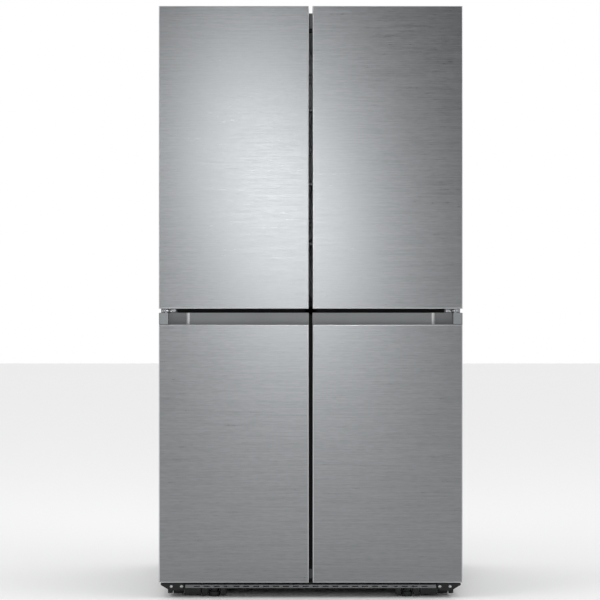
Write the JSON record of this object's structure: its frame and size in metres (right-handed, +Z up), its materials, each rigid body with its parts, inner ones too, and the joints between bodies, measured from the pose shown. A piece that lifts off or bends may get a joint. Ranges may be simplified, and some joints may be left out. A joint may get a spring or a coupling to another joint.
{
  "type": "french door refrigerator",
  "caption": "Free-standing refrigerator with side-hinged doors: a wide fresh-food compartment over two lower compartments, recessed hand grips between the rows, brushed steel door fronts.",
  "frame": {"origin": "on the floor, under the middle of the whole box", "axes": "+Z up, +X to the right as seen from the front, doors facing -Y"},
  "size_m": [0.912, 0.73, 1.7863],
  "materials": {
    "brushed_stainless": "horizontal brushed stainless sheet, satin",
    "painted_sheet": "grey textured powder coat",
    "zinc_plated_steel": "bright zinc plate, satin",
    "black_steel": "black semi-matt paint",
    "grip_plastic": "moulded grey plastic",
    "dark_plastic": "moulded charcoal plastic",
    "liner_plastic": "white vacuum-formed polystyrene",
    "gasket_rubber": "grey flexible seal",
    "insulation_foam": "rigid foam, hidden",
    "shelf_glass": "clear tempered glass",
    "clear_plastic": "clear moulded polystyrene"
  },
  "bodies": {
    "cabinet": {"outer_wrapper": "painted_sheet", "insulated_core": "insulation_foam", "fresh_food_liner": "liner_plastic", "freezer_liner": "liner_plastic", "flex_zone_liner": "liner_plastic", "rear_panel": "painted_sheet", "machine_room_cover": "painted_sheet", "air_duct_panel": "liner_plastic", "shelf_lower": "shelf_glass", "shelf_upper": "shelf_glass", "crisper_cover": "shelf_glass", "base_frame": "black_steel", "kick_grille": "dark_plastic", "compressor": "black_steel", "top_hinge_left": "zinc_plated_steel", "top_hinge_right": "zinc_plated_steel", "hinge_cover_left": "dark_plastic", "hinge_cover_right": "dark_plastic", "middle_hinge_left": "zinc_plated_steel", "middle_hinge_right": "zinc_plated_steel", "bottom_hinge_left": "black_steel", "bottom_hinge_right": "black_steel"},
    "upper_left_door": {"upper_left_door_skin": "brushed_stainless", "upper_left_door_core": "liner_plastic", "upper_left_door_top_cap": "grip_plastic", "upper_left_door_bottom_cap": "grip_plastic", "upper_left_door_gasket": "gasket_rubber", "upper_left_door_bin_lower": "clear_plastic", "upper_left_door_bin_upper": "clear_plastic"},
    "upper_right_door": {"upper_right_door_skin": "brushed_stainless", "upper_right_door_core": "liner_plastic", "upper_right_door_top_cap": "grip_plastic", "upper_right_door_bottom_cap": "grip_plastic", "upper_right_door_gasket": "gasket_rubber", "upper_right_door_bin_lower": "clear_plastic", "upper_right_door_bin_upper": "clear_plastic"},
    "lower_left_door": {"lower_left_door_skin": "brushed_stainless", "lower_left_door_core": "liner_plastic", "lower_left_door_grip": "grip_plastic", "lower_left_door_bottom_cap": "grip_plastic", "lower_left_door_gasket": "gasket_rubber"},
    "lower_right_door": {"lower_right_door_skin": "brushed_stainless", "lower_right_door_core": "liner_plastic", "lower_right_door_grip": "grip_plastic", "lower_right_door_bottom_cap": "grip_plastic", "lower_right_door_gasket": "gasket_rubber"},
    "flip_mullion": {"flip_mullion": "liner_plastic"},
    "crisper_left": {"crisper_left": "clear_plastic"},
    "crisper_right": {"crisper_right": "clear_plastic"},
    "freezer_drawer_lower": {"freezer_drawer_lower": "clear_plastic"},
    "freezer_drawer_upper": {"freezer_drawer_upper": "clear_plastic"},
    "flex_zone_drawer_lower": {"flex_zone_drawer_lower": "clear_plastic"},
    "flex_zone_drawer_upper": {"flex_zone_drawer_upper": "clear_plastic"},
    "condenser_fan": {"condenser_fan": "dark_plastic"},
    "levelling_leg_left": {"levelling_leg_left": "dark_plastic"},
    "levelling_leg_right": {"levelling_leg_right": "dark_plastic"},
    "front_roller_left": {"front_roller_left": "dark_plastic"},
    "front_roller_right": {"front_roller_right": "dark_plastic"},
    "rear_roller_left": {"rear_roller_left": "dark_plastic"},
    "rear_roller_right": {"rear_roller_right": "dark_plastic"}
  },
  "joints": [
    {"name": "upper_left_door_hinge", "type": "hinge", "parent": "cabinet", "child": "upper_left_door", "pos_m": [-0.436, -0.327, 0.863], "axis": [0, 0, -1], "range_deg": [0, 110]},
    {"name": "upper_right_door_hinge", "type": "hinge", "parent": "cabinet", "child": "upper_right_door", "pos_m": [0.436, -0.327, 0.863], "axis": [0, 0, 1], "range_deg": [0, 110]},
    {"name": "lower_left_door_hinge", "type": "hinge", "parent": "cabinet", "child": "lower_left_door", "pos_m": [-0.436, -0.327, 0.863], "axis": [0, 0, -1], "range_deg": [0, 110]},
    {"name": "lower_right_door_hinge", "type": "hinge", "parent": "cabinet", "child": "lower_right_door", "pos_m": [0.436, -0.327, 0.863], "axis": [0, 0, 1], "range_deg": [0, 110]},
    {"name": "flip_mullion_pivot", "type": "hinge", "parent": "upper_left_door", "child": "flip_mullion", "pos_m": [-0.034, -0.289, 1.307], "axis": [0, 0, -1], "range_deg": [0, 90]},
    {"name": "crisper_left_slide", "type": "slide", "parent": "cabinet", "child": "crisper_left", "axis": [0, -1, 0], "range_m": [0, 0.21]},
    {"name": "crisper_right_slide", "type": "slide", "parent": "cabinet", "child": "crisper_right", "axis": [0, -1, 0], "range_m": [0, 0.21]},
    {"name": "freezer_drawer_lower_slide", "type": "slide", "parent": "cabinet", "child": "freezer_drawer_lower", "axis": [0, -1, 0], "range_m": [0, 0.21]},
    {"name": "freezer_drawer_upper_slide", "type": "slide", "parent": "cabinet", "child": "freezer_drawer_upper", "axis": [0, -1, 0], "range_m": [0, 0.21]},
    {"name": "flex_zone_drawer_lower_slide", "type": "slide", "parent": "cabinet", "child": "flex_zone_drawer_lower", "axis": [0, -1, 0], "range_m": [0, 0.21]},
    {"name": "flex_zone_drawer_upper_slide", "type": "slide", "parent": "cabinet", "child": "flex_zone_drawer_upper", "axis": [0, -1, 0], "range_m": [0, 0.21]},
    {"name": "condenser_fan_spin", "type": "hinge", "parent": "cabinet", "child": "condenser_fan", "pos_m": [0.06, 0.2475, 0.15], "axis": [1, 0, 0], "continuous": true},
    {"name": "levelling_leg_left_screw", "type": "slide", "parent": "cabinet", "child": "levelling_leg_left", "axis": [0, 0, -1], "range_m": [0, 0.012]},
    {"name": "levelling_leg_right_screw", "type": "slide", "parent": "cabinet", "child": "levelling_leg_right", "axis": [0, 0, -1], "range_m": [0, 0.012]},
    {"name": "front_roller_left_spin", "type": "hinge", "parent": "cabinet", "child": "front_roller_left", "pos_m": [-0.4, -0.302, 0.022], "axis": [1, 0, 0], "continuous": true},
    {"name": "rear_roller_left_spin", "type": "hinge", "parent": "cabinet", "child": "rear_roller_left", "pos_m": [-0.4, 0.32, 0.02], "axis": [1, 0, 0], "continuous": true},
    {"name": "front_roller_right_spin", "type": "hinge", "parent": "cabinet", "child": "front_roller_right", "pos_m": [0.4, -0.302, 0.022], "axis": [1, 0, 0], "continuous": true},
    {"name": "rear_roller_right_spin", "type": "hinge", "parent": "cabinet", "child": "rear_roller_right", "pos_m": [0.4, 0.32, 0.02], "axis": [1, 0, 0], "continuous": true}
  ],
  "couplings": [
    {"joint": "crisper_left_slide", "follows": "upper_left_door_hinge", "m_per_rad": 0.109},
    {"joint": "crisper_right_slide", "follows": "upper_right_door_hinge", "m_per_rad": 0.109},
    {"joint": "freezer_drawer_lower_slide", "follows": "lower_left_door_hinge", "m_per_rad": 0.109},
    {"joint": "freezer_drawer_upper_slide", "follows": "lower_left_door_hinge", "m_per_rad": 0.109},
    {"joint": "flex_zone_drawer_lower_slide", "follows": "lower_right_door_hinge", "m_per_rad": 0.109},
    {"joint": "flex_zone_drawer_upper_slide", "follows": "lower_right_door_hinge", "m_per_rad": 0.109}
  ]
}
